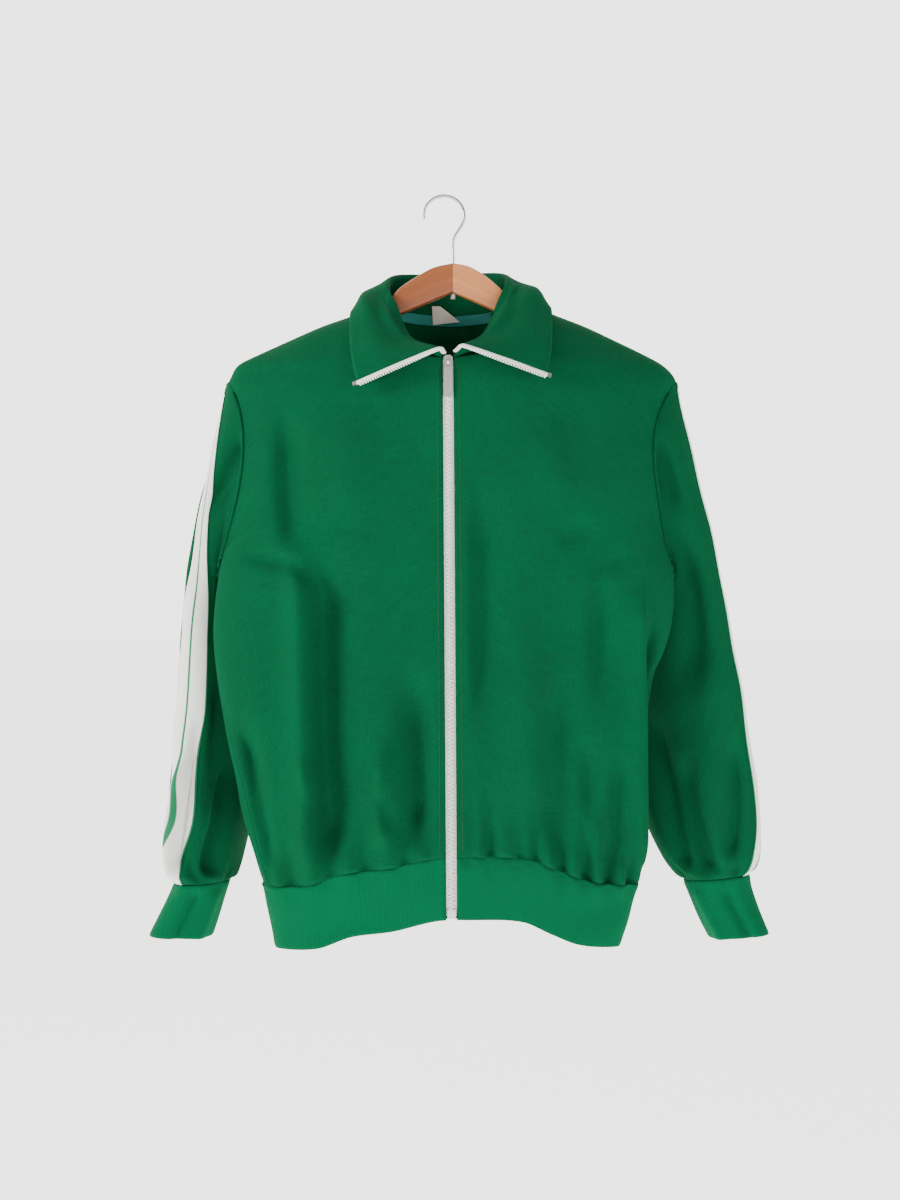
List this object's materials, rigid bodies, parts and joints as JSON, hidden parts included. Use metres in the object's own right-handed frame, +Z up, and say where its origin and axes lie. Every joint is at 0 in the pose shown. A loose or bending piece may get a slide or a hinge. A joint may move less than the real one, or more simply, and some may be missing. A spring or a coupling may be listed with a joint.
{
  "type": "track jacket hanging on a wooden hanger with a wire hook",
  "caption": "Green knitted zip-front track jacket with a fold-over collar and white sleeve tapes, hanging closed on a wooden clothes hanger.",
  "frame": {"origin": "the inside top of the hook's round, where a rail carries it", "axes": "+Z up, the jacket's front faces -Y, the wearer's left side is on +X"},
  "size_m": [0.631, 0.1612, 0.765],
  "materials": {
    "green_jersey": "smooth double-knit jersey",
    "green_rib": "one by one rib knit",
    "white_tape": "matt woven tape",
    "teal_tape": "matt woven tape",
    "label_cloth": "blank woven label",
    "white_plastic": "moulded zip teeth",
    "steel": "bright plated steel",
    "dark_wood": "varnished",
    "light_wood": "varnished"
  },
  "bodies": {
    "jacket": {"front_right": "green_jersey", "front_left": "green_jersey", "back": "green_jersey", "shoulder_tape_right": "white_tape", "shoulder_tape_left": "white_tape", "sleeve_right": "green_jersey", "sleeve_left": "green_jersey", "sleeve_tape_right": "white_tape", "sleeve_tape_left": "white_tape", "cuff_right": "green_rib", "cuff_left": "green_rib", "waistband": "green_rib", "collar": "green_jersey", "zip_tape_right": "white_tape", "zip_tape_left": "white_tape", "zip_chain": "white_plastic", "zip_box": "steel", "zip_slider": "steel", "zip_edge_right": "white_tape", "zip_edge_left": "white_tape", "zip_stop_right": "steel", "zip_stop_left": "steel", "neck_tape": "teal_tape", "label": "label_cloth", "hanger_arm_right": "dark_wood", "hanger_arm_left": "light_wood", "hook": "steel", "hook_nut": "steel"},
    "tab": {"pull_tab": "steel"}
  },
  "joints": [
    {"name": "pull_tab", "type": "hinge", "parent": "jacket", "child": "tab", "pos_m": [0.00415, -0.06045, -0.176], "axis": [-1, 0, 0], "range_deg": [0, 120]}
  ]
}
